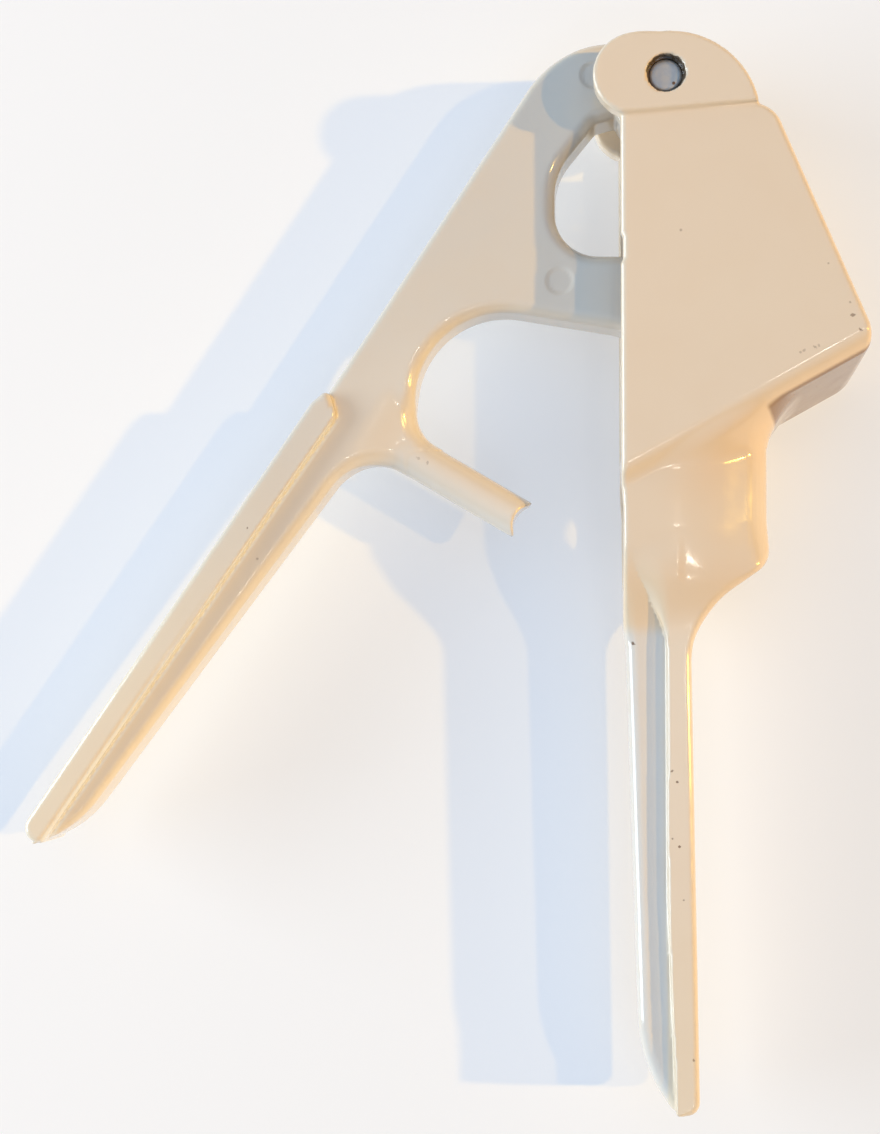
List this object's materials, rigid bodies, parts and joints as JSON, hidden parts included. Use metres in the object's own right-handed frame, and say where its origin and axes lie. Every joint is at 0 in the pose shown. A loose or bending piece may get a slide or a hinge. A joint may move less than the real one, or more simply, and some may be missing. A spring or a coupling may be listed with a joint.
{
  "type": "garlic press",
  "caption": "Hand-held garlic press with a tapered hopper, hinged plunger lever, T-section handles and a built-in olive and cherry stoner cup with its prong.",
  "frame": {"origin": "On the hinge axis, at the outer face of the lower ear, which is the face that the press lies on.", "axes": "+Z along the hinge axis, away from the face it lies on; +Y from the handles towards the hinge, along the hopper lever; +X from the open mouth of the hopper towards its sieve."},
  "size_m": [0.1404, 0.1789, 0.03],
  "materials": {
    "enamel": "glossy cream-white enamel on die-cast aluminium, warmer towards the handle ends, lightly chipped on the edges",
    "pin_steel": "dull turned steel with a little rust at the rim"
  },
  "bodies": {
    "hopper_body": {"hopper_lever": "enamel", "hinge_pin": "pin_steel"},
    "plunger_body": {"plunger_lever": "enamel"}
  },
  "joints": [
    {"name": "lever_hinge", "type": "hinge", "parent": "hopper_body", "child": "plunger_body", "pos_m": [0, 0, 0.015], "axis": [0, 0, 1], "range_deg": [-125, 32.5]}
  ]
}
